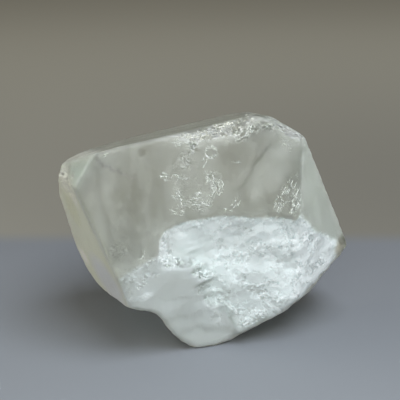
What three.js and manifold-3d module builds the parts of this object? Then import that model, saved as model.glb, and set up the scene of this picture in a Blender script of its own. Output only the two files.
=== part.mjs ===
// A single topaz crystal, 61 mm across, as three.js geometry in millimetres, +Z up.
// It stands on a flat cleavage face, with its broad prism face towards -Y. The upper half keeps its
// flat growth faces. The lower front is broken: a rough shell-shaped hollow, stepped ledges beside it,
// and uneven breaks underneath. The crystal grew as one piece, so it is one solid.
//
// It is made as a cutter shapes a stone: a block loses everything beyond each face and each break.
// A direction is given as on a goniometer. Azimuth is in degrees around Z, 0 facing -Y and 90 facing +X.
// Tilt is in degrees above the horizon.
import * as THREE from "three";
import { mergeVertices } from "three/addons/utils/BufferGeometryUtils.js";
import Module from "manifold-3d";

const HEART = new THREE.Vector3(-0.7, 2.0, 24.0); // inside the crystal; every face is measured from it
const BLOCK = 84; // side of the block that is cut down
const REACH = 80; // how far a cutter extends beyond its own centre
const CELL = 1.1; // grid spacing on a broken surface

// Growth faces: [azimuth, tilt, distance from HEART].
const FACES = {
  front: [7.5, 14.5, 17.5],
  right: [48, 5, 23.5],
  left: [-66.3, -19.2, 23.7],
  top: [-130.5, 72.8, 19.4],
  topTip: [148, 77, 23.3],
  shoulder: [106.5, 62, 26.1],
  corner: [-70, 35, 30.8],
  cornerTop: [-107.5, 64.5, 23.0],
  cornerLeft: [-95, 15, 30.0],
  back: [-173, -11, 12.9],
  backRight: [120, 27.5, 21.1],
  backLeft: [-132, 32, 24.3],
  backLow: [-91, -9, 28.6],
  foot: [0, -90, 24.0],
};

// Broken surfaces. `from` is a point of the surface, measured from HEART. `bowl` is the radius of the
// hollow across and up the surface; `half` is half the width and height of the part with relief.
const BREAKS = {
  mainHollow: {
    turn: [8, -5],
    from: [4.0, -12.7, -10.0],
    bowl: [150, 55],
    half: [26, 24],
    relief: rough(3, 0.8),
  },
  rightBreak: {
    turn: [40, -9],
    from: [23.0, -9.6, 0.9],
    bowl: [200, 200],
    half: [14, 22],
    relief: rough(17, 0.8),
  },
  ledges: {
    turn: [18.5, -9],
    from: [-16.3, -21.9, -6.0],
    half: [36, 24],
    relief: ledges(2, 0.9),
  },
  rimLeft: {
    turn: [68, 4],
    from: [-7.7, -19.2, 0.4],
    half: [10, 14],
    relief: rough(10, 0.5),
  },
  rimCorner: {
    turn: [62, -48],
    from: [-5.4, -17.8, 4.4],
    half: [10, 10],
    relief: rough(15, 0.5),
  },
  rimShelf: {
    turn: [40, 71],
    from: [-5.0, -18.5, -3.8],
    half: [12, 12],
    relief: rough(9, 0.5),
  },
  rimSteep: {
    turn: [60.5, 14],
    from: [1.4, -15.1, -11.2],
    half: [14, 18],
    relief: rough(5, 0.5),
  },
  chipTop: {
    turn: [2, 44],
    from: [1.9, -11.1, 22.0],
    bowl: [32, 20],
    half: [13, 5],
    relief: rough(31, 0.45),
  },
  chipShoulder: {
    turn: [28, 40],
    from: [17.6, -9.8, 21.3],
    bowl: [9, 12],
    half: [6, 6],
    relief: rough(33, 0.35),
  },
  underRight: {
    turn: [55.5, -55],
    from: [12.7, -18.6, -16.7],
    half: [32, 26],
    relief: smooth(11, 0.8),
  },
  underTip: {
    turn: [71, -40.5],
    from: [24.5, -14.0, -9.1],
    half: [30, 18],
    relief: smooth(12, 0.8),
  },
  underLeft: {
    turn: [-73.5, -32],
    from: [-22.7, -3.6, -12.9],
    half: [30, 14],
    relief: smooth(22, 0.4),
  },
  underBack: {
    turn: [178, -50],
    from: [0.0, 17.0, -18.0],
    half: [24, 16],
    relief: smooth(31, 0.8),
  },
  notchUpper: {
    turn: [-31, -73],
    from: [-11.5, -19.0, -13.2],
    half: [34, 20],
    relief: smooth(21, 0.5),
  },
  notchLower: {
    turn: [-85, -26],
    from: [-7.4, -17.1, -17.0],
    half: [34, 20],
    relief: smooth(23, 0.5),
  },
  underKeel: {
    turn: [-70, -50],
    from: [-4.7, -15.5, -21.1],
    half: [34, 16],
    relief: smooth(25, 0.5),
  },
};

// Flat planes that end one break where the next one starts.
const LIMITS = {
  leftOfRim: { turn: [-119.5, -14], from: [2.3, -15.6, -11.0] },
};

// Each bite takes away what lies beyond all of its surfaces at once.
const BITES = [
  ["mainHollow", "rimShelf", "rimLeft", "rimCorner"],
  ["mainHollow", "rimSteep", "rimCorner"],
  ["ledges", "leftOfRim"],
  ["notchUpper", "notchLower"],
  ["notchUpper", "underKeel"],
  ["rightBreak"],
  ["underRight"],
  ["underTip"],
  ["underLeft"],
  ["underBack"],
  ["chipTop"],
  ["chipShoulder"],
];

const wasm = await Module();
wasm.setup();

// A repeatable number from 0 to 1 for the whole numbers i, j and k.
function scatter(i, j, k) {
  const s = Math.sin(i * 127.1 + j * 311.7 + k * 74.7) * 43758.5453;
  return s - Math.floor(s);
}

// Shallow dishes side by side, as glassy stone breaks: at each place the lowest of the dishes whose
// centres are scattered one to a cell, so that their rims meet in sharp ridges. 0 is the mean height.
function dishes(u, v, cell, seed, depth) {
  const iu = Math.floor(u / cell);
  const iv = Math.floor(v / cell);
  let low = Infinity;
  for (let i = iu - 1; i <= iu + 1; i++)
    for (let j = iv - 1; j <= iv + 1; j++) {
      const du = u / cell - i - 0.5 - 0.8 * (scatter(i, j, seed) - 0.5);
      const dv = v / cell - j - 0.5 - 0.8 * (scatter(i, j, seed + 1) - 0.5);
      const leanU = 1.12 * (scatter(i, j, seed + 2) - 0.5);
      const leanV = 1.12 * (scatter(i, j, seed + 3) - 0.5);
      const floor = 0.5 * scatter(i, j, seed + 4);
      low = Math.min(low, floor + du * du + dv * dv + leanU * du + leanV * dv);
    }
  return (low - 0.45) * depth;
}

// A wavering line: the sum of three sines, the longest of the given wavelength.
function wander(t, wave, seed) {
  const turn = (2 * Math.PI * t) / wave;
  return (
    Math.sin(turn + seed) +
    0.5 * Math.sin(2.3 * turn + 1.7 * seed) +
    0.25 * Math.sin(5.1 * turn + 2.9 * seed)
  );
}

// Rough conchoidal break: dishes of three sizes.
function rough(seed, strength) {
  return (u, v) =>
    strength *
    (dishes(u, v, 7.0, seed, 1.1) +
      dishes(u + 3, v, 3.1, seed + 7, 0.55) +
      dishes(u, v + 2, 1.4, seed + 13, 0.22));
}

// Smoother break: one size of wide dish, with fine ripples across it.
function smooth(seed, strength) {
  return (u, v) => {
    const ripple = 0.05 * wander(v + 0.18 * wander(u, 9, seed), 2.6, seed);
    return strength * (dishes(u * 0.8, v * 1.3, 11.0, seed, 0.9) + ripple);
  };
}

// Stepped break: each ledge rises at a wavering line and dies away above it.
function ledges(seed, strength) {
  const steps = [
    { at: -5.0, rise: 0.8 },
    { at: -9.0, rise: 1.0 },
    { at: -13.5, rise: 0.8 },
  ];
  const fadeOver = 3.5;
  return (u, v) => {
    const line = v + 0.5 * wander(u, 14, seed);
    let height = dishes(u, v, 9.0, seed, 0.5) - 0.2;
    for (const { at, rise } of steps) {
      const above = line - at;
      if (above > 0) height += rise * Math.exp(-above / fadeOver);
    }
    return strength * height;
  };
}

// A frame on the surface: Z out of the stone, X level across the surface, Y up it, origin on it.
function frameOf([azimuth, tilt], from) {
  const a = THREE.MathUtils.degToRad(azimuth);
  const t = THREE.MathUtils.degToRad(tilt);
  const out = new THREE.Vector3(
    Math.sin(a) * Math.cos(t),
    -Math.cos(a) * Math.cos(t),
    Math.sin(t),
  );
  const across = new THREE.Vector3(Math.cos(a), Math.sin(a), 0);
  const up = new THREE.Vector3().crossVectors(out, across);
  const origin = from ? from.clone() : new THREE.Vector3();
  return new THREE.Matrix4()
    .makeBasis(across, up, out)
    .setPosition(origin.add(HEART));
}

function solidOf(geometry) {
  geometry.deleteAttribute("normal");
  geometry.deleteAttribute("uv");
  const merged = mergeVertices(geometry, 1e-4);
  return new wasm.Manifold(
    new wasm.Mesh({
      numProp: 3,
      vertProperties: merged.attributes.position.array,
      triVerts: new Uint32Array(merged.index.array),
    }),
  );
}

// The box beyond a flat face.
function beyondFace([azimuth, tilt, distance]) {
  const box = new THREE.BoxGeometry(2 * REACH, 2 * REACH, REACH);
  box.translate(0, 0, distance + REACH / 2);
  return solidOf(box.applyMatrix4(frameOf([azimuth, tilt])));
}

// The box beyond a broken surface. Its inner side follows the hollow and the relief on a grid; the
// outermost row of the grid is drawn out to REACH, so that the box clears the crystal.
function beyondBreak({ turn, from, bowl = [Infinity, Infinity], half = [CELL, CELL], relief = () => 0 }) {
  const across = Math.ceil((2 * half[0]) / CELL) + 2;
  const up = Math.ceil((2 * half[1]) / CELL) + 2;
  const box = new THREE.BoxGeometry(2, 2, 2, across, up, 1);
  const at = box.attributes.position;
  const spread = (t, cells, size) =>
    Math.abs(t) > 1 - 1 / cells ? Math.sign(t) * REACH : (t * size * cells) / (cells - 2);
  for (let i = 0; i < at.count; i++) {
    const u = spread(at.getX(i), across, half[0]);
    const v = spread(at.getY(i), up, half[1]);
    const hollow = Math.min((u * u) / (2 * bowl[0]) + (v * v) / (2 * bowl[1]), REACH / 2);
    at.setXYZ(i, u, v, at.getZ(i) > 0 ? REACH : hollow + relief(u, v));
  }
  return solidOf(box.applyMatrix4(frameOf(turn, new THREE.Vector3(...from))));
}

function crystalSolid() {
  const block = new THREE.BoxGeometry(BLOCK, BLOCK, BLOCK);
  block.translate(HEART.x, HEART.y, HEART.z);
  let stone = solidOf(block);
  for (const face of Object.values(FACES)) stone = stone.subtract(beyondFace(face));
  const surfaces = { ...BREAKS, ...LIMITS };
  for (const bite of BITES) {
    const cutters = bite.map((name) => beyondBreak(surfaces[name]));
    stone = stone.subtract(cutters.reduce((all, next) => all.intersect(next)));
  }
  return stone;
}

function geometryOf(solid) {
  const { vertProperties, triVerts } = solid.getMesh();
  const geometry = new THREE.BufferGeometry();
  geometry.setAttribute("position", new THREE.BufferAttribute(vertProperties, 3));
  geometry.setIndex(new THREE.BufferAttribute(triVerts, 1));
  const faceted = geometry.toNonIndexed();
  faceted.computeVertexNormals();
  return faceted;
}

const topaz = new THREE.MeshStandardMaterial({
  name: "topaz",
  color: 0xb4b9ae,
  roughness: 0.25,
  metalness: 0,
});

const crystal = new THREE.Mesh(geometryOf(crystalSolid()), topaz);
crystal.name = "topaz_crystal";

const part = new THREE.Group();
part.name = "topaz crystal";
part.add(crystal);

export default part;
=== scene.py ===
"""A topaz crystal, 61 mm across, standing on its cleavage face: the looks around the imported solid.

The visible crystal is one closed surface worked out from the solid's faces and breaks, in millimetres, with
finer relief, and turned to metres when its mesh is made. Two of them, right and right_break, are turned and
moved a little from where the solid has them. Directions are given as on a goniometer: azimuth in degrees
around Z, 0 facing -Y and 90 facing +X, and tilt in degrees above the horizon.
"""

import math

import bpy
import numpy as np
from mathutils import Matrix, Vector


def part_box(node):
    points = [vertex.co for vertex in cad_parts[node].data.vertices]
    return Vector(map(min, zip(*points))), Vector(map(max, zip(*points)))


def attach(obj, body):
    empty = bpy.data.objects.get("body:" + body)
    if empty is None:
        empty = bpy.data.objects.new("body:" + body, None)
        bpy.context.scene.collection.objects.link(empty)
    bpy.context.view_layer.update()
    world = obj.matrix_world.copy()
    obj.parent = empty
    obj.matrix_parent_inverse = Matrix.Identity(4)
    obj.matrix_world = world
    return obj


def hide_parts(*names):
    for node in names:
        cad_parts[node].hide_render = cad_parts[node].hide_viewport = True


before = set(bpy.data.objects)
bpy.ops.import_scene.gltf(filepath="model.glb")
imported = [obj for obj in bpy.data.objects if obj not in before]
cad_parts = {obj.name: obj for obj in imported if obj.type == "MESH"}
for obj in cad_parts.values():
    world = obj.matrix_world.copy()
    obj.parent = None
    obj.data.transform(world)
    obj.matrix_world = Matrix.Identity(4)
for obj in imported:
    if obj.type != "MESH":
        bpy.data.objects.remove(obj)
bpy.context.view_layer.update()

MM = 0.001
NODE = "topaz_crystal"
box_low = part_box(NODE)[0]
HEART = np.array(box_low) / MM + (29.74, 21.73, 24.0)  # inside the crystal; every face is measured from it
EYE = np.array([-5.0, 2.0, -2.0])  # from HEART: every point of the surface is in plain sight of it

GRID = (190, 60, 140)  # cells across, through and up the crystal
ROUNDING = 0.1  # how softly growth faces meet each other and the breaks
WORN = 0.6  # how softly broken surfaces meet
CRUMBLE = 1.0  # how far a broken rim is crumbled
CHAFED = 0.8  # how far the edge between two growth faces is chafed
PITTED = 0.5  # how deep the pits of the chafed corner go
NEAREST, FARTHEST = 3.0, 60.0  # every point of the surface lies between these distances from EYE
REACH = 3.5  # how far each side of the plain surface the one with relief is looked for, along a ray
PLAIN_ROUNDS, RELIEF_ROUNDS = 12, 11  # how often a ray's stretch is halved, without relief and then with it
NEAR = 4.5  # relief is worked out only this close to a surface


# ---------------------------------------------------------------- shape of broken topaz

SPREAD = 96  # cells on each side of the middle in a table of scattered numbers
DISH_CENTRE = 0.8  # how far about its cell a dish's centre is scattered, in cells
DISH_LEAN = 1.12  # how steeply dishes lean
DISH_FLOOR = 0.5  # how much dishes differ in depth
DISH_LEVEL = 0.45  # the level that dishes lie about, before their depth is taken
RIM = 0.35  # the difference between two dishes' heights at which their rim ends
scatter_tables = {}


def scatter(i, j, k):
    """A repeatable number from 0 to 1 for the whole numbers i, j and k: the fraction of a large sine."""
    return np.mod(np.sin(i * 127.1 + j * 311.7 + k * 74.7) * 43758.5453, 1.0)


def scatter_table(seed):
    """Five scattered numbers for each cell: its dish's centre across and up, its lean across and up, and its
    floor."""
    if seed not in scatter_tables:
        i, j = np.meshgrid(np.arange(-SPREAD, SPREAD), np.arange(-SPREAD, SPREAD), indexing="ij")
        columns = (
            0.5 + DISH_CENTRE * (scatter(i, j, seed) - 0.5),
            0.5 + DISH_CENTRE * (scatter(i, j, seed + 1) - 0.5),
            DISH_LEAN * (scatter(i, j, seed + 2) - 0.5),
            DISH_LEAN * (scatter(i, j, seed + 3) - 0.5),
            DISH_FLOOR * scatter(i, j, seed + 4),
        )
        scatter_tables[seed] = np.stack(columns, -1)
    return scatter_tables[seed]


def dishes(u, v, cell, seed, depth, hollow=1.0):
    """The lowest of nine dishes around each point, and how near the point is to a rim, from 0 to 1. A dish
    is its floor, plus hollow times the squared distance from its centre, plus a lean in each direction, so
    that rims meet in sharp ridges. With hollow 0 the dishes are nearly flat facets."""
    table = scatter_table(seed)
    i, j = np.floor(u / cell).astype(int), np.floor(v / cell).astype(int)
    low = second = np.full(np.shape(u), np.inf)
    for di in (-1, 0, 1):
        for dj in (-1, 0, 1):
            row = np.clip(i + di + SPREAD, 0, 2 * SPREAD - 1)
            column = np.clip(j + dj + SPREAD, 0, 2 * SPREAD - 1)
            centre_u, centre_v, lean_u, lean_v, floor = np.moveaxis(table[row, column], -1, 0)
            du = u / cell - i - di - centre_u
            dv = v / cell - j - dj - centre_v
            height = floor + (0.15 + 0.85 * hollow) * (du * du + dv * dv) + lean_u * du + lean_v * dv
            second = np.minimum(second, np.maximum(low, height))
            low = np.minimum(low, height)
    return (low - DISH_LEVEL) * depth, np.clip(1 - (second - low) / RIM, 0, 1)


def wander(t, wave, seed):
    """A wavering line: three sines, the longest of the given wavelength."""
    turn = 2 * np.pi * t / wave
    finer = 0.5 * np.sin(2.3 * turn + 1.7 * seed) + 0.25 * np.sin(5.1 * turn + 2.9 * seed)
    return np.sin(turn + seed) + finer


def within_oval(u, v, place):
    """Place across and along a turned oval, from its middle; a positive turn leans its top to the left."""
    at_u, at_v, _, _, turn = place
    c, s = math.cos(math.radians(turn)), math.sin(math.radians(turn))
    return (u - at_u) * c + (v - at_v) * s, (v - at_v) * c - (u - at_u) * s


def spot(u, v, place):
    """1 in the middle of a turned oval, falling to 0 at its rim."""
    across, along = within_oval(u, v, place)
    return np.clip(1.4 - 1.4 * ((across / place[2]) ** 2 + (along / place[3]) ** 2), 0, 1)


def rough(seed, strength, calm=None):
    """Rough conchoidal break: wide dishes of two sizes, with crumbs and splinters along their rims. Gives
    the height and how crumbly each point is. Inside the oval given by calm, both fade."""

    def relief(u, v):
        wide, wide_rim = dishes(u, v, cell=7.0, seed=seed, depth=1.0)
        middle, middle_rim = dishes(u + 3, v, cell=3.1, seed=seed + 7, depth=0.5)
        crumbly = np.clip(0.05 + wide_rim + 0.8 * middle_rim + 0.35 * wander(u + v, 9.0, seed), 0.05, 1)
        small = dishes(u, v + 2, cell=1.4, seed=seed + 13, depth=0.3)[0]
        splinters = dishes(u + 0.4 * v, v, cell=0.8, seed=seed + 19, depth=0.2, hollow=0.3)[0]
        quiet = spot(u, v, calm) if calm else 0.0
        crumbly = crumbly * (1 - 0.95 * quiet)
        return strength * ((1 - 0.6 * quiet) * (wide + middle) + crumbly * (small + splinters)), crumbly

    return relief


def ragged(seed, strength):
    """Rough break whose plane also wavers by a millimetre along its height."""
    plain = rough(seed, strength)

    def relief(u, v):
        height, crumbly = plain(u, v)
        return height + 0.55 * wander(v, 8.5, seed) + 0.2 * wander(v, 3.1, seed + 2), crumbly

    return relief


def splintery(seed, strength, lean, calm):
    """Splintered break: dishes of two sizes, drawn out along a line that climbs to the right by the given
    angle. They fade inside the oval given by calm."""
    c, s = math.cos(math.radians(lean)), math.sin(math.radians(lean))

    def relief(u, v):
        along, over = (u * c + v * s) / 3, v * c - u * s
        wide, rim = dishes(along, over, cell=1.3, seed=seed, depth=0.35)
        fine = dishes(along + 1, over, cell=0.6, seed=seed + 9, depth=0.2)[0]
        loud = 1 - 0.8 * spot(u, v, calm)
        return strength * loud * (wide + fine), 0.5 * loud * rim

    return relief


def smooth(seed, strength):
    """Smoother break: wide dishes with small ones and fine ripples across them; crumbly at their rims."""

    def relief(u, v):
        ripple = 0.05 * wander(v + 0.18 * wander(u, 9, seed), 2.6, seed)
        wide, rim = dishes(u * 0.8, v * 1.3, cell=11.0, seed=seed, depth=0.9)
        small = dishes(u, v * 1.2, cell=2.8, seed=seed + 5, depth=0.35)[0]
        return strength * (wide + ripple + small), 0.4 * rim**2

    return relief


def ledges(seed, strength):
    """Stepped break: each ledge rises at a wavering line, where it is a little crumbly, and dies away
    above it."""
    steps = ((-4.8, 0.35), (-9.4, 0.45), (-13.4, 0.4))
    width, fade = 0.8, 3.5

    def relief(u, v):
        height = dishes(u, v, cell=9.0, seed=seed, depth=0.5)[0] - 0.2
        crumbly = np.zeros_like(u)
        for number, (at, drop) in enumerate(steps):
            line = v - at + 0.5 * wander(u, 15, seed + number) + 0.15 * wander(u, 3.7, seed + 5 * number)
            strong = 0.6 + 0.3 * wander(u, 21, seed + 3 * number)
            height = height + strong * drop * rise(line, width) * np.exp(-np.clip(line, 0, None) / fade)
            crumbly = crumbly + 0.4 * strong * np.exp(-((line / 0.35) ** 2))
        return strength * height, np.clip(crumbly, 0, 1)

    return relief


def rise(t, width):
    """A smooth step from 0 to 1, about width across, where t passes 0."""
    return 1 / (1 + np.exp(-np.clip(4 * t / width, -40, 40)))


def scar(u, v):
    """The shallow scar at the face's upper left: how strong it is at each point, from 1 just inside its
    wavering rim, fading inwards, and how near the point is to the rim. The rim stands upright on the left,
    turns, and falls gently to the right, where it dies out: it is the soft minimum of two lines."""
    left, low = u + 21.7, (v - 12.7 + 0.5 * (u + 21.2)) / 1.12
    within = 0.12 * wander(u - v, 2.5, 2) - 0.4 * np.log(np.exp(-left / 0.4) + np.exp(-low / 0.4))
    dying = rise(-14.8 - u, 2.0)
    inside = rise(within, 0.5) * np.exp(-np.clip(within, 0, None) / 3)
    return dying * inside, dying * np.exp(-((within / 0.35) ** 2))


def growth_step(u, v, fade):
    """The growth step that slants across the right half of the broad face: 1 at the step's top edge,
    dying away to its left within the fade, and 0 to its right."""
    line = u - 6.2 - 0.7 * (v - 7.2) - 0.25 * wander(v, 6.0, 5)
    step = (1 - rise(line, 0.35)) * np.exp(np.clip(line, None, 0) / fade)
    return step * rise(v - 6.8, 1.0) * rise(15.6 - v, 1.0)


def dark_lines(u, v):
    """From 0 to 1, dark hairlines on the broad face: painted shade along the scar's lip and the step's foot,
    and a few wavering dark arcs at the lower left."""
    lip = scar(u, v)[1]
    waver = np.abs(wander(v + 0.5 * wander(u, 5.0, 1), 1.7, 3))
    arcs = spot(u, v, (-17.8, -4.0, 3.4, 2.4, 0)) * np.clip(1 - waver / 0.3, 0, 1)
    return np.clip(lip + 0.5 * growth_step(u, v, 0.35) + 0.5 * arcs, 0, 1)


def front_relief(u, v):
    """What stands out from the broad prism face: faint upright striations, the growth step, the scar and
    a narrow pit."""
    striae = 0.02 * wander(u + 0.4 * wander(v, 19, 1), 9.0, 4)
    pit = -0.2 * np.exp(-((u + 13.8) ** 2 / 0.1 + (v + 5.5) ** 2 / 0.6))
    return striae + 0.09 * growth_step(u, v, 2.5) - 0.09 * scar(u, v)[0] + pit


def side_relief(u, v):
    """Faint waves on the other growth faces, with finer upright striations that come and go."""
    waves = 0.02 * wander(u + 0.3 * wander(v, 13, 2), 6.5, 7)
    striae = 0.012 * wander(u + 0.1 * wander(v, 9, 4), 1.9, 5)
    return waves + np.clip(wander(u + 0.6 * v, 23, 3), 0, 1) * striae


# ---------------------------------------------------------------- faces and breaks of this crystal

# Growth faces: azimuth, tilt, distance from HEART.
FACES = {
    "front": (7.5, 14.5, 17.5),
    "right": (54, 8, 25.0),
    "left": (-66.3, -19.2, 23.7),
    "top": (-130.5, 72.8, 19.4),
    "top_tip": (148, 77, 23.3),
    "shoulder": (106.5, 62, 26.1),
    "corner": (-70, 35, 30.8),
    "corner_top": (-107.5, 64.5, 23.0),
    "corner_left": (-95, 15, 30.0),
    "back": (-173, -11, 12.9),
    "back_right": (120, 27.5, 21.1),
    "back_left": (-132, 32, 24.3),
    "back_low": (-91, -9, 28.6),
    "foot": (0, -90, 24.0),
}

# Broken surfaces: azimuth and tilt, a point of the surface from HEART, the hollow's radius across and up
# it, and the relief.
FLAT = (np.inf, np.inf)
CALM_HOLLOW = (-5.8, 8.6, 6.2, 6.6, 0)  # the smooth plate in the main hollow, as an oval of BREAK_MARKS
CALM_TOP = (8.5, 1.6, 3.8, 2.0, -5)  # the same in the chip on the top edge
CALM_SHOULDER = (-3.0, 0.0, 2.5, 2.0, 0)  # and in the one on the shoulder
BREAKS = {
    "main_hollow": ((8, -5), (4.0, -12.7, -10.0), (150, 55), rough(3, 0.8, CALM_HOLLOW)),
    "right_break": ((40.6, -11.5), (23.4, -10.1, 0.8), (200, 200), rough(17, 0.8)),
    "ledges": ((18.5, -9), (-16.3, -21.9, -6.0), FLAT, ledges(2, 0.9)),
    "rim_left": ((68, 4), (-7.7, -19.2, 0.4), FLAT, rough(10, 0.6)),
    "rim_corner": ((62, -48), (-5.4, -17.8, 4.4), FLAT, rough(15, 0.6)),
    "rim_shelf": ((40, 71), (-5.0, -18.5, -3.8), FLAT, rough(9, 0.8)),
    "rim_steep": ((60.5, 14), (1.4, -15.1, -11.2), FLAT, ragged(5, 0.7)),
    "chip_top": ((2, 44), (1.9, -11.1, 22.0), (32, 20), splintery(31, 0.38, 20, CALM_TOP)),
    "chip_shoulder": ((28, 40), (17.6, -9.8, 21.3), (9, 12), splintery(33, 0.32, -25, CALM_SHOULDER)),
    "under_right": ((55.5, -55), (12.7, -18.6, -16.7), FLAT, smooth(11, 0.8)),
    "under_tip": ((71, -40.5), (24.5, -14.0, -9.1), FLAT, smooth(12, 0.8)),
    "under_left": ((-73.5, -32), (-22.7, -3.6, -12.9), FLAT, smooth(22, 0.4)),
    "under_back": ((178, -50), (0.0, 17.0, -18.0), FLAT, smooth(31, 0.8)),
    "notch_upper": ((-31, -73), (-11.5, -19.0, -13.2), FLAT, smooth(21, 0.5)),
    "notch_lower": ((-85, -26), (-7.4, -17.1, -17.0), FLAT, smooth(23, 0.5)),
    "under_keel": ((-70, -50), (-4.7, -15.5, -21.1), FLAT, smooth(25, 0.5)),
    # a flat plane that ends the ledges where the hollow starts
    "left_of_rim": ((-119.5, -14), (2.3, -15.6, -11.0), FLAT, None),
}

# Each bite takes away what lies beyond all of its surfaces at once.
BITES = (
    ("main_hollow", "rim_shelf", "rim_left", "rim_corner"),
    ("main_hollow", "rim_steep", "rim_corner"),
    ("ledges", "left_of_rim"),
    ("notch_upper", "notch_lower"),
    ("notch_upper", "under_keel"),
    ("right_break",),
    ("under_right",),
    ("under_tip",),
    ("under_left",),
    ("under_back",),
    ("chip_top",),
    ("chip_shoulder",),
)

# How milky each growth face is, from 0, clear, to 1, white; how speckled; and its tone.
GROWTH_LOOK = {
    "front": (0.12, 0.0, "#e1e6df"),
    "right": (0.38, 0.05, "#e1e9e0"),
    "left": (0.66, 0.3, "#dfe3d2"),
    "top": (0.13, 0.1, "#dcddd0"),
    "top_tip": (0.13, 0.1, "#dcddd0"),
    "shoulder": (0.30, 0.2, "#dbe5dc"),
    "corner": (0.34, 0.2, "#d8e7dc"),
    "corner_top": (0.30, 0.1, "#e2e2d4"),
    "corner_left": (0.48, 0.6, "#e2e4d2"),
}
PLAIN_GROWTH = (0.30, 0.1, "#e3e5dc")
# The same for the broken surfaces, over what crumbles at the rims of their dishes.
BROKEN_LOOK = {
    "main_hollow": (0.86, 0.0, "#ebf6f5"),
    "right_break": (0.97, 0.2, "#ecf7f5"),
    "rim_left": (0.75, 0.5, "#edf3f1"),
    "rim_corner": (0.75, 0.5, "#edf3f1"),
    # the shelf is clearer and greyer than the breaks round it: painted shade on a shelf that faces up to the
    # lamps
    "rim_shelf": (0.28, 0.2, "#d3dcd8"),
    "rim_steep": (0.45, 0.2, "#d8e2de"),
    "ledges": (0.48, 0.0, "#e5edec"),
    "under_right": (0.48, 0.1, "#e4eae6"),
    "chip_top": (0.07, 0.1, "#dfe1d6"),
    "chip_shoulder": (0.12, 0.15, "#eef0ec"),
}
PLAIN_BREAK = (0.45, 0.0, "#e4e9e4")

# Ovals on broken surfaces, in millimetres across and up from the surface's point: the surface; middle
# across and up, half width and height, turn in degrees; how much milkier it is there, and how crumbly.
BREAK_MARKS = {
    "grey left end": ("ledges", (1.6, -1.1, 2.6, 3.4, 0), -0.2, 0.7),
    "green crumbs": ("ledges", (5.1, -0.7, 1.8, 1.5, 0), -0.05, 0.9),
    "bright spot": ("ledges", (6.0, -3.8, 1.8, 1.2, 20), 0.24, 0.4),
    "pale band under the shelf": ("ledges", (11.7, 2.0, 4.2, 0.9, 0), 0.03, 0.2),
    "crumbly rim": ("ledges", (5.5, 0.8, 5.0, 1.0, 0), 0.05, 0.8),
    "low half of the hollow": ("main_hollow", (5.0, -5.0, 10.0, 8.0, 0), -0.26, 0.0),
    "grey beside the ledges": ("main_hollow", (2.4, -8.5, 2.6, 4.5, 25), -0.1, 0.5),
    "crumbs at the right end": ("ledges", (21.0, -9.0, 1.8, 6.5, 15), 0.0, 0.6),
    "grey low edge of the hollow": ("main_hollow", (7.0, -10.0, 5.0, 1.6, 36), -0.2, 0.2),
    "white edge right of it": ("under_right", (11.5, 0.8, 8.5, 2.0, 43), 0.25, 0.8),
    # painted shade of a crevice that the relief lacks; crumbly there too
    "painted shade of a crevice": ("main_hollow", (5.0, 12.6, 2.2, 0.6, -15), -0.3, 0.8),
    "white streak along the chip": ("chip_top", (-3.8, -1.1, 4.4, 1.2, 20), 0.06, 0.8),
    "its upper half": ("chip_top", (3.2, 1.7, 4.6, 1.3, 20), 0.06, 0.8),
    "speckles right of it": ("chip_top", (5.6, 0.2, 1.6, 0.8, 0), 0.05, 0.8),
    # painted light: the hollow's top right faces down, away from the lamps, and is made milkier to look lit
    "right half of the hollow, whitened as painted light": ("main_hollow", (10.5, 10.8, 8.5, 3.4, 0), 0.14, 0.1),
    "greener middle": ("main_hollow", (5.0, 2.5, 7.0, 3.5, 0), -0.07, 0.0),
    "left rim of the hollow": ("main_hollow", (-11.0, 9.5, 1.6, 5.5, 0), -0.1, 1.0),
}

# Ovals on the broad prism face, in millimetres across and up it from the foot of the perpendicular from
# HEART: middle across and up, half width and height, turn in degrees; then how much milkier it is there.
CLOUDS = {
    "dark band": ((-16.2, 6.0, 3.6, 11.0, 0), -0.065),
    "darker streak of the band": ((-17.6, 8.0, 0.9, 5.5, 6), -0.025),
    "dark streak beside it": ((-14.8, 7.0, 0.7, 6.5, -4), -0.025),
    "low streak": ((-16.0, 1.5, 1.0, 4.5, -6), -0.025),
    "pale left edge": ((-22.0, 4.0, 2.4, 9.0, 8), -0.02),
    "pale core of the band": ((-16.4, 6.6, 2.2, 3.4, 0), 0.03),
    "dim right of the band": ((-11.6, 6.0, 3.8, 8.0, 0), -0.05),
    "dark at the lower left": ((-17.0, -5.0, 4.5, 2.6, 10), -0.04),
    "pale below the band": ((-12.0, -2.0, 2.6, 3.5, 0), 0.03),
    "green pit": ((-13.0, 14.7, 1.1, 1.0, 0), -0.10),
    "veiled middle": ((-3.5, 9.5, 5.5, 8.0, 10), 0.05),
    "dark beside the curl": ((4.6, 12.4, 3.8, 4.6, -10), -0.035),
    "pale right of the step": ((11.8, 9.5, 3.8, 7.0, -30), 0.09),
    "dark foot of the step": ((12.5, 5.4, 3.4, 2.4, 0), -0.04),
    "pale below the shoulder": ((15.5, 13.5, 2.5, 2.5, 0), 0.05),
}

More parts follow.
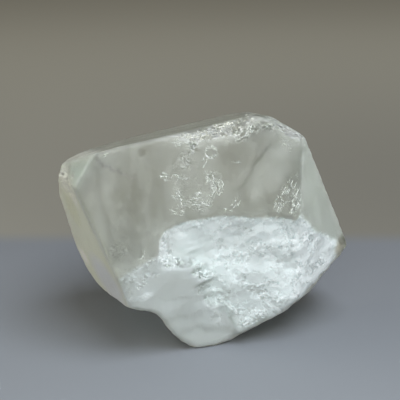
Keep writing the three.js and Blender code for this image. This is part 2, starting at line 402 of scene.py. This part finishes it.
# White feathers on the same face and its two chips: bundles of short strokes that lean as each oval does;
# strength.
LEANS = (-30, 20, 75, -72)  # the ways that the strokes lean
FEATHERS = {
    "low end of the top chip": ((-4.9, 16.7, 0.9, 2.8, -70), 1.0),
    "middle of the top chip": ((-1.3, 17.4, 1.2, 3.0, -72), 1.0),
    "upper half of the top chip": ((3.2, 19.1, 1.1, 3.6, -70), 1.0),
    "upper end of the top chip": ((7.0, 20.5, 0.7, 2.2, -75), 0.8),
    "right of the top chip": ((8.2, 18.4, 0.9, 1.6, -30), 0.7),
    "shoulder chip": ((16.2, 18.5, 0.9, 2.6, 62), 1.0),
    "tail of the curl": ((-1.1, 12.3, 0.7, 1.3, -20), 0.8),
    "row of dashes": ((-7.0, 9.6, 0.9, 3.2, 84), 0.6),
    "left of the row": ((-8.9, 9.7, 0.9, 1.0, 60), 1.0),
    "tall feather": ((0.5, 8.4, 1.3, 3.0, 22), 1.0),
    "beside the tall feather": ((1.6, 7.0, 1.2, 2.4, -30), 0.9),
    "splinter": ((-2.2, 6.1, 0.7, 1.0, 65), 1.0),
    "fan on the arch": ((-2.6, 4.2, 1.5, 2.9, 68), 1.0),
    "fan's left wing": ((-6.2, 5.4, 1.3, 2.2, 30), 0.8),
    "fan's foot": ((-6.6, 2.8, 1.0, 1.9, 75), 0.6),
    "fan's right wing": ((-0.3, 4.6, 1.0, 1.6, -15), 0.7),
    "pair of splinters": ((5.0, 4.1, 0.9, 1.8, -28), 1.0),
    "foot of the pair": ((3.4, 2.6, 0.7, 1.2, 60), 0.7),
    "long feather": ((15.2, 6.2, 1.3, 4.0, -36), 1.0),
    "lower long feather": ((13.8, 3.6, 1.3, 2.4, -30), 0.9),
    "feather at the crease": ((17.2, 4.6, 1.1, 2.8, -8), 0.9),
    "foot of the crease": ((16.5, 2.2, 0.8, 1.8, 12), 0.9),
    "dash": ((5.3, 12.1, 0.4, 1.4, 88), 0.5),
    "streak": ((-13.6, -5.5, 0.5, 1.2, -25), 0.8),
    "at the scar": ((-19.8, 14.3, 0.6, 0.8, -60), 1.0),
    "under the shoulder": ((15.1, 14.7, 0.9, 1.9, 55), 0.4),
}

# Veils of crumpled white there, and the curl, which is a ring of it; strength.
VEILS = {
    "middle": ((-3.9, 8.6, 3.8, 6.2, 15), 0.2),
    "top of the middle": ((-3.3, 15.3, 1.9, 1.8, 0), 0.8),
    "below that": ((-4.9, 12.8, 1.5, 2.5, 0), 0.6),
    "round the tall feather": ((0.8, 8.0, 2.2, 3.4, 0), 0.35),
    "round the fan": ((-3.4, 4.3, 4.4, 2.2, -15), 0.35),
    "round the crease": ((16.6, 3.6, 1.8, 3.2, -10), 0.4),
    "below the top chip": ((6.4, 17.5, 2.4, 1.7, 15), 1.0),
    "beside the top chip": ((8.8, 18.2, 1.5, 1.1, 0), 1.0),
    "below the tip": ((11.8, 18.9, 2.4, 1.0, -10), 0.9),
    "waves at the lower left": ((-18.2, -4.0, 3.0, 1.9, 0), 0.3),
}
CURL = (0.4, 14.2, 1.3, 1.3, 0)

# Local marks: middle from HEART and half size each way, then how much milkier it is there, how crumbly,
# and the tone.
MARKS = {
    "chafed corner": ((-27.0, -10.0, 10.8), (3.0, 6.5, 4.2), -0.17, 1.5, "#f2f4e9"),
    "chafed crease": ((-25.0, -13.9, 9.6), (1.8, 3.2, 5.0), -0.1, 1.3, "#eceee2"),
    "specks on the left": ((-26.0, -6.5, 4.4), (3.0, 8.0, 5.5), -0.1, 0.6, "#dfe2c9"),
    "white edge": ((-25.1, 3.2, -9.8), (2.0, 4.0, 2.4), 0.25, 0.2, "#e6e6e0"),
    "grey low on the left": ((-19.5, -12.0, -10.0), (8.0, 14.0, 6.5), -0.02, 0.3, "#d9dde3"),
    "clear tip": ((29.6, -2.6, -5.1), (2.2, 3.2, 3.0), -0.3, 0.1, "#d8d6c4"),
}


def frame_of(azimuth, tilt):
    """Unit vectors level across a surface, up it, and out of it."""
    a, t = math.radians(azimuth), math.radians(tilt)
    out = np.array([math.sin(a) * math.cos(t), -math.cos(a) * math.cos(t), math.sin(t)])
    across = np.array([math.cos(a), math.sin(a), 0.0])
    return across, np.cross(out, across), out


def beyond_face(points, name, with_relief):
    """How far each point lies beyond a growth face, less the face's relief; negative inside."""
    azimuth, tilt, distance = FACES[name]
    across, up, out = frame_of(azimuth, tilt)
    height = points @ out - distance
    if with_relief and name != "foot":
        relief = front_relief if name == "front" else side_relief
        near = np.abs(height) < NEAR
        height[near] -= relief(points[near] @ across, points[near] @ up)
    return height


def on_break(points, name):
    """Each point's place across and up a broken surface, and its height over the surface's plane."""
    turn, start = BREAKS[name][:2]
    across, up, out = frame_of(*turn)
    offset = points - np.array(start)
    return offset @ across, offset @ up, offset @ out


def beyond_break(points, name, with_relief):
    """How far each point lies beyond a broken surface: its height over the plane, less the hollow's rise
    (half of each squared offset over the radius that way), less the relief."""
    radius_across, radius_up = BREAKS[name][2]
    relief = BREAKS[name][3]
    u, v, height = on_break(points, name)
    height = height - u * u / (2 * radius_across) - v * v / (2 * radius_up)
    if with_relief and relief:
        near = np.abs(height) < NEAR
        height[near] -= relief(u[near], v[near])[0]
    return height


def soft_max(rows, softness):
    """The largest of the rows, raised a little where two of them are close: softness times the logarithm
    of the sum of exponentials."""
    top = rows.max(0)
    return top + softness * np.log(np.exp((rows - top) / softness).sum(0))


def beyond_faces(points, with_relief):
    return np.stack([beyond_face(points, name, with_relief) for name in FACES])


def beyond_bites(points, with_relief):
    """One row for each bite: how far each point lies beyond all of its surfaces, softly."""
    heights = {name: beyond_break(points, name, with_relief) for name in BREAKS}
    return np.stack([-soft_max(-np.stack([heights[name] for name in bite]), WORN) for bite in BITES])


def crumbs(points):
    """From 0 to 1: how deeply a broken rim has crumbled at each point."""
    x, y, z = points.T
    depth = dishes(x + 0.7 * y, z - 0.4 * y, cell=1.5, seed=41, depth=0.8, hollow=0.5)[0]
    return np.clip(0.45 + depth, 0, 1)


def near_crease(rows, width):
    """1 where the two largest rows are equal, falling smoothly to 0 where they differ by the width."""
    second, first = np.partition(rows, -2, axis=0)[-2:]
    return np.clip(1 - (first - second) / width, 0, 1) ** 2


def within_mark(points, name):
    """1 in the middle of a local mark, falling to 0 at its rim."""
    middle, size = MARKS[name][:2]
    return np.clip(1.3 - 1.3 * (((points - np.array(middle)) / size) ** 2).sum(1), 0, 1)


def beyond(points, with_relief):
    """How far each point lies beyond the whole crystal: the soft maximum of all faces and bites. Within
    CRUMBLE of a crease round a bite or between two, and within CHAFED of one between two growth faces, the
    surface is lowered by up to a third of that, crumb by crumb. The chafed corner is pitted too."""
    faces = beyond_faces(points, with_relief)
    whole = soft_max(faces, ROUNDING)
    bites = beyond_bites(points, with_relief)
    bitten = soft_max(bites, WORN)
    field = soft_max(np.stack([whole, bitten]), ROUNDING)
    if with_relief:
        bitten_share = rise(bitten - whole, 0.5)
        worn = CHAFED / 3 * near_crease(faces, CHAFED) * (1 - bitten_share)
        between = near_crease(bites, CRUMBLE) * bitten_share
        round_bites = near_crease(np.stack([whole, bitten]), CRUMBLE)
        field = field + (worn + CRUMBLE / 3 * np.maximum(between, round_bites)) * crumbs(points)
        field = field + PITTED * within_mark(points, "chafed corner") * crumbs(1.3 * points)
    return field


def halve(directions, low, high, rounds, with_relief):
    """Finds where each ray from EYE leaves the crystal, by halving the stretch between low and high."""
    for _ in range(rounds):
        middle = (low + high) / 2
        inside = beyond(EYE + directions * middle[:, None], with_relief) < 0
        low, high = np.where(inside, middle, low), np.where(inside, high, middle)
    return (low + high) / 2


def distances(directions):
    """Distance from EYE to the surface along each ray: first without the relief, then with it."""
    count = len(directions)
    plain = halve(directions, np.full(count, NEAREST), np.full(count, FARTHEST), PLAIN_ROUNDS, False)
    return halve(directions, plain - REACH, plain + REACH, RELIEF_ROUNDS, True)


# The crystal's eight rough corners, from HEART: [x side][y side][z side].
CORNERS = {
    (0, 0, 0): (-17, -20, -12),
    (1, 0, 0): (20, -11, -15),
    (0, 1, 0): (-19, 16, -21),
    (1, 1, 0): (20, 14, -21),
    (0, 0, 1): (-21, -16.5, 17.5),
    (1, 0, 1): (20.5, -10, 20.5),
    (0, 1, 1): (-27, 11, 16),
    (1, 1, 1): (14, 11, 23),
}


def side(corner_names, cells_u, cells_v):
    """Grid of one side of the corner block: the four corners blended evenly both ways."""
    a, b, c, d = (np.array(CORNERS[name], float) - EYE for name in corner_names)
    s = np.linspace(0, 1, cells_u + 1)[None, :, None]
    t = np.linspace(0, 1, cells_v + 1)[:, None, None]
    return (1 - s) * (1 - t) * a + s * (1 - t) * b + (1 - s) * t * c + s * t * d


def closed_grid(cells_x, cells_y, cells_z):
    """Directions from EYE and the quads that join them: six grids, one to a side, merged at their seams."""
    sides = (
        side(((0, 0, 0), (1, 0, 0), (0, 0, 1), (1, 0, 1)), cells_x, cells_z),
        side(((1, 1, 0), (0, 1, 0), (1, 1, 1), (0, 1, 1)), cells_x, cells_z),
        side(((0, 1, 0), (0, 0, 0), (0, 1, 1), (0, 0, 1)), cells_y, cells_z),
        side(((1, 0, 0), (1, 1, 0), (1, 0, 1), (1, 1, 1)), cells_y, cells_z),
        side(((0, 0, 1), (1, 0, 1), (0, 1, 1), (1, 1, 1)), cells_x, cells_y),
        side(((0, 1, 0), (1, 1, 0), (0, 0, 0), (1, 0, 0)), cells_x, cells_y),
    )
    points, quads, start = [], [], 0
    for grid in sides:
        rows, columns = grid.shape[:2]
        index = start + np.arange(rows * columns).reshape(rows, columns)
        around = (index[:-1, :-1], index[:-1, 1:], index[1:, 1:], index[1:, :-1])
        quads.append(np.stack(around, -1).reshape(-1, 4))
        points.append(grid.reshape(-1, 3))
        start += rows * columns
    points = np.concatenate(points)
    directions = points / np.linalg.norm(points, axis=1, keepdims=True)
    rounded = np.round(directions, 6)
    _, first, merged = np.unique(rounded, axis=0, return_index=True, return_inverse=True)
    return directions[first], merged.reshape(-1)[np.concatenate(quads)]


# Widths of the changes in look, in millimetres.
MILK_BLEND, TONE_BLEND = 0.08, 0.7  # between growth faces, in milkiness and in tone
BROKEN_MILK_BLEND, BROKEN_TONE_BLEND = 0.5, 1.2  # the same between broken surfaces
BORDER = 1.4  # how far the broad face is milkier round its breaks
BESIDE, BESIDE_TONE = 3.5, "#dfe5e0"  # how far the left face looks like the broad one, and its tone there
CRUMBLY_RIM = 1.6  # how far each side of a broken rim is crumbly
MATT_EDGE = 1.0  # how far the edge between two growth faces is matt

# How much milkier the broad face is in its scar, in its mottling, round its breaks and on its curl; how much
# clearer the left face is beside it, painted shade against the light its crease catches; and how much darker
# its hairlines are, painted shade at the scar's lip and the step's foot, and dark arcs.
SCAR_MILK, MOTTLED, BORDER_MILK, CURL_MILK = 0.05, 0.015, 0.16, 0.2
BESIDE_PAINTED_SHADE, DARK_HAIRLINES = 0.42, 0.45

FACE_ROWS = {name: row for row, name in enumerate(FACES)}


def linear(hex_colour):
    """An sRGB hex colour as linear red, green, blue and 1."""
    channels = [int(hex_colour[i : i + 2], 16) / 255 for i in (1, 3, 5)]
    return [c / 12.92 if c <= 0.04045 else ((c + 0.055) / 1.055) ** 2.4 for c in channels] + [1.0]


def shares(heights, blend):
    """How much of each surface's look a point takes: all of that of the surface with the largest height,
    less what it shares with those that come within about blend millimetres of it."""
    share = np.exp((heights - heights.max(0)) / blend)
    return (share / share.sum(0)).T


def look_at(heights, names, table, plain, blend, tone_blend):
    """The milkiness, speckle and tone at each point, mixed over blend and tone_blend millimetres."""
    looks = [table.get(name, plain) for name in names]
    milk, speckle = (shares(heights, blend) @ np.array([look[:2] for look in looks])).T
    return milk, speckle, shares(heights, tone_blend) @ np.array([linear(look[2]) for look in looks])


def with_marks(points, milk, crumbly, tone):
    """The looks with the local marks added, each fading out from its middle."""
    for name, (_, _, more, crumbs_there, colour) in MARKS.items():
        here = within_mark(points, name)
        milk, crumbly = milk + more * here, crumbly + here * (crumbs_there - crumbly)
        tone = tone + here[:, None] * (np.array(linear(colour)) - tone)
    return milk, crumbly, tone


def feathers(u, v):
    """How strongly strokes of each lean show at each point: an oval's strokes take the lean nearest to its
    own, and cross half as many of the next of the first three."""
    strength = np.zeros((len(u), len(LEANS)))
    for place, strong in FEATHERS.values():
        nearest = np.argmin([abs(place[4] - lean) for lean in LEANS])
        here = strong * spot(u, v, place)
        strength[:, nearest] = np.maximum(strength[:, nearest], here)
        across = (nearest + 1) % 3
        strength[:, across] = np.maximum(strength[:, across], 0.5 * here)
    return strength


def face_place(points):
    """Each point's place across and up the broad face, from the foot of the perpendicular from HEART."""
    across, up, _ = frame_of(*FACES["front"][:2])
    return points @ across, points @ up


def curl(u, v):
    """1 on the curl, which is a ring, falling to 0 beside it."""
    across, along = within_oval(u, v, CURL)
    return np.clip(1 - np.abs(np.hypot(across, along) / CURL[2] - 0.8) / 0.35, 0, 1)


def growth_looks(points, faces, bitten):
    """The milkiness, speckle and tone of the growth faces. The broad face has its clouds, scar, dark
    hairlines of painted shade and curl, and is milkier round its breaks. Beside it, the left face looks like
    it, and is clearer there as painted shade."""
    u, v = face_place(points)
    whole, front, left = faces.max(0), faces[FACE_ROWS["front"]], faces[FACE_ROWS["left"]]
    on_front = faces.argmax(0) == FACE_ROWS["front"]
    milk, speckle, tone = look_at(faces, FACES, GROWTH_LOOK, PLAIN_GROWTH, MILK_BLEND, TONE_BLEND)

    clouds = np.sum([more * spot(u, v, place) for place, more in CLOUDS.values()], axis=0)
    clouds = clouds + SCAR_MILK * scar(u, v)[0] + MOTTLED * wander(u + 0.2 * v, 5.3, 9)
    border = BORDER_MILK * np.clip(1 - (whole - bitten) / BORDER, 0, 1)
    milk = milk + on_front * (clouds + border + CURL_MILK * curl(u, v))
    # darker hairlines: painted shade at the scar's lip and the step's foot, and dark arcs at the lower left
    tone[:, :3] *= 1 - DARK_HAIRLINES * (on_front * dark_lines(u, v))[:, None]

    # beside the broad face the left face takes its grey tone, its own, and is clearer: painted shade against
    # the light that the crease catches
    beside = (left >= whole) * np.clip(1 - (left - front) / BESIDE, 0, 1)
    tone = tone + beside[:, None] * (np.array(linear(BESIDE_TONE)) - tone)
    return milk - BESIDE_PAINTED_SHADE * beside, speckle, tone


def broken_looks(points, bites):
    """The milkiness, crumbliness and tone of the broken surfaces, and whether each point is on a chip. At
    each point one bite rules, and in it the surface that the point is least far beyond."""
    names = list(BREAKS)
    heights = np.stack([beyond_break(points, name, True) for name in names])
    heights[names.index("left_of_rim")] = np.inf
    members = np.array([[name in bite for name in names] for bite in BITES])
    heights = np.where(members[bites.argmax(0)].T, heights, np.inf)
    ruling = heights.argmin(0)
    milk, crumbly, tone = look_at(
        -heights, names, BROKEN_LOOK, PLAIN_BREAK, BROKEN_MILK_BLEND, BROKEN_TONE_BLEND
    )
    for number, name in enumerate(names[:-1]):
        here = ruling == number
        crumbly[here] += BREAKS[name][3](*on_break(points[here], name)[:2])[1]
    for name, place, more, crumbs_there in BREAK_MARKS.values():
        mark = (ruling == names.index(name)) * spot(*on_break(points, name)[:2], place)
        milk, crumbly = milk + more * mark, np.maximum(crumbly, crumbs_there * mark)
    return milk, crumbly, tone, np.isin(ruling, (names.index("chip_top"), names.index("chip_shoulder")))


def veils(points, on_front, broken):
    """How crumpled the white on the surface is: VEILS and the curl on the broad face, and fainter veils that
    wander over the other growth faces."""
    u, v = face_place(points)
    front = [strength * spot(u, v, place) for place, strength in VEILS.values()]
    deep = wander(points @ (1.0, 0.4, 0.5), 19.0, 2) * wander(points @ (-0.4, 0.9, 0.7), 14.0, 6)
    elsewhere = 0.35 * np.clip(deep - 0.4, 0, 1) * (1 - broken)
    return np.where(on_front, np.max([curl(u, v)] + front, axis=0), elsewhere)


def finish_values(points):
    """What the material needs to know at each point: how broken, matt, milky and crumbly it is, how
    strongly feathers of each lean show, its place on the broad face, and its tone."""
    faces, bites = beyond_faces(points, True), beyond_bites(points, True)
    whole, bitten = faces.max(0), bites.max(0)
    broken = np.clip(0.5 + (bitten - whole) / 0.4, 0, 1)
    on_front = faces.argmax(0) == FACE_ROWS["front"]
    growth_milk, speckle, growth_tone = growth_looks(points, faces, bitten)
    broken_milk, crumbly, broken_tone, chipped = broken_looks(points, bites)

    patches = np.clip(0.5 + 0.5 * wander(points @ (1.0, 0.3, -0.6), 7.0, 3), 0, 1)
    rim = np.clip(1 - np.abs(bitten - whole) / CRUMBLY_RIM, 0, 1) * np.clip(broken + 0.3, 0, 1)
    veil = veils(points, on_front, broken)
    crumbly = np.max([crumbly * broken, 0.6 * rim, speckle * (1 - broken) * patches, veil], axis=0)
    milk = growth_milk + broken * (broken_milk - growth_milk)
    tone = growth_tone + broken[:, None] * (broken_tone - growth_tone)
    milk, crumbly, tone = with_marks(points, milk, crumbly, tone)

    u, v = face_place(points)
    feathered = np.maximum(on_front * (1 - broken), chipped * broken)
    return {
        "broken": broken,
        "matt": near_crease(faces, MATT_EDGE) * (1 - broken),
        "milk": milk,
        "crumbly": crumbly,
        "feathers": feathers(u, v) * feathered[:, None],
        "face_place": np.stack([u, v, 0 * u], -1) * MM,
        "tone": tone,
    }


ATTRIBUTE_KINDS = {1: ("FLOAT", "value"), 3: ("FLOAT_VECTOR", "vector"), 4: ("FLOAT_COLOR", "color")}


def make_crystal():
    """The whole surface: each ray of the closed grid, stretched to where it leaves the crystal."""
    directions, quads = closed_grid(*GRID)
    points = EYE + directions * distances(directions)[:, None]
    mesh = bpy.data.meshes.new("crystal")
    mesh.from_pydata(((points + HEART) * MM).tolist(), [], quads.tolist())
    mesh.polygons.foreach_set("use_smooth", np.ones(len(quads), bool))
    for name, values in finish_values(points).items():
        kind, field = ATTRIBUTE_KINDS[values.size // len(values)]
        layer = mesh.attributes.new(name, kind, "POINT")
        layer.data.foreach_set(field, values.astype(np.float32).ravel())
    crystal = bpy.data.objects.new("crystal", mesh)
    bpy.context.scene.collection.objects.link(crystal)
    return crystal


# ---------------------------------------------------------------- materials


def add(tree, kind, inputs=(), **settings):
    """Adds a node with its settings, and sets its inputs or links them. A node given as an input is linked
    by its first output."""
    node = tree.nodes.new("ShaderNode" + kind)
    for name, value in settings.items():
        setattr(node, name, value)
    for name, value in dict(inputs).items():
        if isinstance(value, bpy.types.Node):
            value = value.outputs[0]
        if isinstance(value, bpy.types.NodeSocket):
            tree.links.new(value, node.inputs[name])
        else:
            node.inputs[name].default_value = value
    return node


def new_material(name):
    material = bpy.data.materials.new(name)
    material.use_nodes = True
    material.node_tree.nodes.clear()
    return material, material.node_tree


# The material's patterns, in millimetres.
CLOUD_SIZE, CLOUD_DEPTH = 4.0, 0.15  # soft clouds in the milkiness, and how far they change it
CRINKLE_SIZE, CRINKLE_WIDTH = 0.55, 0.09  # crumpled lines on crumbly parts
CRINKLE_BETWEEN, CRINKLE_ON = -0.16, 0.5  # how much milkier a crumbly part is between its lines, and on them
STROKE_SPACING, STROKE_LENGTH = 0.32, 2.4  # the strokes of a feather
STROKE_END, STROKE_WHITE = 0.3, 2.2  # where in its cell a stroke has faded, and how white its middle is
GLINT_SIZE = 0.35  # the glints along the strokes
FACET_SIZE, FACET_PATCH = 0.35, 2.0  # small facets on crumbly parts, and the patches that they come in
FEATHER_RAISED = 0.1  # how far the whitest strokes stand out
RELIEF_GAIN = 1.3  # how much the facets and strokes are exaggerated

ETCHED, BROKEN, MATT = 0.4, 0.32, 0.85  # the roughness of growth faces, of breaks, and of worn edges
TOPAZ_IOR = 1.62
SPECULAR_LEVEL = 0.12  # how strongly it mirrors; 0.5 is what the IOR gives
SCATTER_REACH = 1.0  # how far the milky share spreads light
BODY_COLOUR, BODY_DENSITY = "#e2e4da", 8.0  # absorption a metre: 1 less the colour, times the density


def crinkles(tree, place, size_mm, width):
    """Fine crumpled lines: where noise with lumps of size_mm, longer across than up, crosses its middle
    value. 1 on the line, and 0 where the noise is width away from that value."""
    size = (1.5 * size_mm * MM, size_mm * MM, size_mm * MM)
    lumps = add(tree, "Mapping", {"Vector": place, "Scale": size}, vector_type="TEXTURE")
    lumps = add(tree, "TexNoise", {"Vector": lumps, "Scale": 1.0, "Detail": 2.0, "Distortion": 0.5})
    off = add(tree, "Math", {0: lumps, 1: 0.5}, operation="SUBTRACT")
    off = add(tree, "Math", {0: off}, operation="ABSOLUTE")
    return add(tree, "MapRange", {"Value": off, "From Max": width, "To Min": 1.0, "To Max": 0.0})


def strokes(tree, place, lean, spacing_mm, length_mm):
    """Short straight strokes that lean to the left by the given angle, scattered in long cells: white on
    each cell's middle, fading to nothing at STROKE_END, some brighter than others."""
    turn = (0.0, 0.0, math.radians(lean))
    size = (spacing_mm * MM, length_mm * MM, 1.0)
    stretched = {"Vector": place, "Rotation": turn, "Scale": size}
    stretched = add(tree, "Mapping", stretched, vector_type="TEXTURE")
    cells = add(tree, "TexVoronoi", {"Vector": stretched, "Scale": 1.0}, voronoi_dimensions="2D")
    near = {"Value": cells.outputs["Distance"], "From Max": STROKE_END, "To Min": STROKE_WHITE, "To Max": 0.0}
    near = add(tree, "MapRange", near)
    bright = add(tree, "MapRange", {"Value": cells.outputs["Color"], "To Min": 0.2, "To Max": 1.2})
    return add(tree, "Math", {0: near, 1: bright}, operation="MULTIPLY", use_clamp=True)


def facets(tree, place, size_mm):
    """Height of small flat facets leaning every way, size_mm across: in each cell, the place within it
    along the cell's own scattered direction."""
    cells = add(tree, "TexVoronoi", {"Vector": place, "Scale": 1 / (size_mm * MM)})
    within = add(tree, "VectorMath", {0: place, 1: cells.outputs["Position"]}, operation="SUBTRACT")
    lean = add(tree, "VectorMath", {0: cells.outputs["Color"], 1: (0.5, 0.5, 0.5)}, operation="SUBTRACT")
    return add(tree, "VectorMath", {0: within, 1: lean}, operation="DOT_PRODUCT").outputs["Value"]


def blotches(tree, place, size_mm, detail, spread, least, most):
    """Noise with lumps of size_mm, turned into least where it is spread below its middle value, and into
    most where it is spread above it."""
    noise = add(tree, "TexNoise", {"Vector": place, "Scale": 1 / (size_mm * MM), "Detail": detail})
    ends = {"From Min": 0.5 - spread, "From Max": 0.5 + spread, "To Min": least, "To Max": most}
    return add(tree, "MapRange", {"Value": noise, **ends})


def topaz_material():
    """Colourless topaz, etched on its growth faces and rough where it broke. The etching gives a satin
    skin that blurs what is behind, worn edges are matt, and crumbly rims catch the light. The milkiness
    stands for fractures inside but is drawn on the surface, which scatters that share of the light and lets
    the rest through. The inside only absorbs."""
    material, tree = new_material("topaz etched and broken")
    place = add(tree, "TexCoord").outputs["Object"]
    shown = ("broken", "matt", "milk", "crumbly")
    shown = [add(tree, "Attribute", attribute_name=name).outputs["Fac"] for name in shown]
    broken, matt, milk, crumbly = shown
    tone = add(tree, "Attribute", attribute_name="tone").outputs["Color"]
    leaning = add(tree, "Attribute", attribute_name="feathers").outputs
    strengths = [*add(tree, "SeparateXYZ", {"Vector": leaning["Color"]}).outputs, leaning["Alpha"]]
    on_face = add(tree, "Attribute", attribute_name="face_place").outputs["Vector"]

    # soft clouds in the milkiness
    clouds = {"Vector": place, "Scale": 1 / (CLOUD_SIZE * MM), "Detail": 5.0, "Distortion": 0.8}
    clouds = add(tree, "TexNoise", clouds)
    clouds = add(tree, "MapRange", {"Value": clouds, "To Min": -CLOUD_DEPTH, "To Max": CLOUD_DEPTH})
    cloudy = add(tree, "Math", {0: milk, 1: clouds}, operation="ADD")

    # white crumpled lines on crumbly parts
    lines = crinkles(tree, place, CRINKLE_SIZE, CRINKLE_WIDTH)
    lines = add(tree, "MapRange", {"Value": lines, "To Min": CRINKLE_BETWEEN, "To Max": CRINKLE_ON})
    crumple = add(tree, "Math", {0: lines, 1: crumbly}, operation="MULTIPLY")

    # feathers, from the strokes of each lean, with glints along them
    feather = 0.0
    for lean, strong in zip(LEANS, strengths):
        bundle = strokes(tree, on_face, lean, STROKE_SPACING, STROKE_LENGTH)
        bundle = add(tree, "Math", {0: bundle, 1: strong}, operation="MULTIPLY")
        feather = add(tree, "Math", {0: bundle, 1: feather}, operation="MAXIMUM")
    glints = blotches(tree, place, GLINT_SIZE, detail=1.0, spread=0.12, least=0.1, most=2.0)
    feather = add(tree, "Math", {0: feather, 1: glints}, operation="MULTIPLY")

    # what is white scatters light, and the rest lets it through
    white = add(tree, "Math", {0: crumple, 1: feather}, operation="ADD")
    white = add(tree, "Math", {0: white, 1: cloudy}, operation="ADD", use_clamp=True)
    see_through = add(tree, "MapRange", {"Value": white, "To Min": 1.0, "To Max": 0.0})
    satin = add(tree, "MapRange", {"Value": broken, "To Min": ETCHED, "To Max": BROKEN})
    worn = add(tree, "MapRange", {"Value": matt, "To Min": satin, "To Max": MATT})

    # small facets on crumbly parts sparkle; raised strokes catch the light
    patches = blotches(tree, place, FACET_PATCH, detail=2.0, spread=0.1, least=0.1, most=1.0)
    grain = add(tree, "Math", {0: facets(tree, place, FACET_SIZE), 1: crumbly}, operation="MULTIPLY")
    grain = add(tree, "Math", {0: grain, 1: patches}, operation="MULTIPLY")
    raised = add(tree, "Math", {0: feather, 1: FEATHER_RAISED * MM}, operation="MULTIPLY")
    grain = add(tree, "Math", {0: grain, 1: raised}, operation="ADD")
    bump = add(tree, "Bump", {"Strength": 1.0, "Distance": RELIEF_GAIN, "Height": grain})

    inputs = {
        "Base Color": tone,
        "Transmission Weight": see_through,
        "Roughness": worn,
        "IOR": TOPAZ_IOR,
        "Specular IOR Level": SPECULAR_LEVEL,
        "Subsurface Weight": 1.0,
        "Subsurface Radius": (1.0, 1.0, 1.0),
        "Subsurface Scale": SCATTER_REACH * MM,
        "Normal": bump,
    }
    surface = add(tree, "BsdfPrincipled", inputs)
    body = add(tree, "VolumeAbsorption", {"Color": linear(BODY_COLOUR), "Density": BODY_DENSITY})
    add(tree, "OutputMaterial", {"Surface": surface, "Volume": body})
    return material


def fade(tree, value, start_mm, end_mm, first, second):
    """A colour that turns smoothly from the first to the second, both given as hex or as an earlier node's
    colour, while the value goes from start_mm to end_mm."""
    at = {"Value": value, "From Min": start_mm * MM, "From Max": end_mm * MM}
    at = add(tree, "MapRange", at, interpolation_type="SMOOTHSTEP")
    ends = [linear(end) if isinstance(end, str) else end for end in (first, second)]
    return add(tree, "Mix", {"Factor": at, 6: ends[0], 7: ends[1]}, data_type="RGBA").outputs[2]


def paper_material():
    """Plain matt paper, a cool grey that darkens away from the front, painted shade of the lamps' falloff;
    beyond the table's back edge it is a warmer grey, paler on the left and far off, painted light and shade
    too."""
    material, tree = new_material("matt paper")
    place = add(tree, "TexCoord").outputs["Object"]
    place = add(tree, "SeparateXYZ", {"Vector": place})
    # painted shade: the table darkens away from the front as the lamps fall off
    table = fade(tree, place.outputs["Y"], -90, 60, "#7f8488", "#6c7074")
    # the backdrop's warm grey is its own; paler to the left and far off is painted light
    backdrop_with_painted_light = fade(tree, place.outputs["X"], -70, 70, "#7b796f", "#6d6b62")
    backdrop_with_painted_light = fade(tree, place.outputs["Y"], 62, 400, backdrop_with_painted_light, "#a09d8f")
    colour = fade(tree, place.outputs["Y"], 50, 62, table, backdrop_with_painted_light)
    surface = add(tree, "BsdfPrincipled", {"Base Color": colour, "Roughness": 0.8})
    add(tree, "OutputMaterial", {"Surface": surface})
    return material


# ---------------------------------------------------------------- stage, light and camera


def make_floor():
    """A wide sheet of paper, a hair below the foot, so that the two don't share a plane."""
    half, low = 3.0, -0.02 * MM
    mesh = bpy.data.meshes.new("floor")
    corners = [(-half, -half, low), (half, -half, low), (half, half, low), (-half, half, low)]
    mesh.from_pydata(corners, [], [(0, 1, 2, 3)])
    floor = bpy.data.objects.new("floor", mesh)
    bpy.context.scene.collection.objects.link(floor)
    mesh.materials.append(paper_material())


def make_lamp(name, place, size, power, colour):
    """A soft square lamp at place, aimed at a point 20 mm above the floor, inside the crystal."""
    lamp = bpy.data.lights.new(name, "AREA")
    lamp.energy, lamp.size = power, size
    lamp.color = linear(colour)[:3]
    holder = bpy.data.objects.new(name, lamp)
    bpy.context.scene.collection.objects.link(holder)
    holder.location = place
    holder.rotation_mode = "QUATERNION"
    holder.rotation_quaternion = (Vector((0, 0, 0.02)) - Vector(place)).to_track_quat("-Z", "Y")


def make_light():
    make_lamp("key", (0.12, -0.2, 0.5), size=0.35, power=3.6, colour="#ecf3ff")
    make_lamp("front fill", (0.04, -0.62, 0.42), size=0.45, power=3.1, colour="#fffcf6")
    make_lamp("side fill", (-0.5, -0.02, 0.12), size=0.2, power=0.95, colour="#fff8ea")
    world = bpy.data.worlds.new("studio")
    bpy.context.scene.world = world
    world.use_nodes = True
    background = world.node_tree.nodes["Background"]
    background.inputs["Color"].default_value = linear("#d6cbb6")
    background.inputs["Strength"].default_value = 0.22


def make_camera():
    """Looks down by 18 degrees at a point 3 mm in front of HEART and 5 mm above it."""
    elevation, distance = math.radians(18), 230 * MM
    aim = Vector(HEART + (0, -3, 5)) * MM
    camera = bpy.data.objects.new("camera", bpy.data.cameras.new("camera"))
    bpy.context.scene.collection.objects.link(camera)
    camera.data.lens = 100
    camera.data.sensor_width = 36
    camera.location = aim + distance * Vector((0, -math.cos(elevation), math.sin(elevation)))
    camera.rotation_euler = (math.pi / 2 - elevation, 0, 0)
    bpy.context.scene.camera = camera


crystal = make_crystal()
crystal.data.materials.append(topaz_material())
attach(crystal, "root")
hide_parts(NODE)
make_floor()
make_light()
make_camera()
bpy.context.scene.view_settings.view_transform = "Standard"
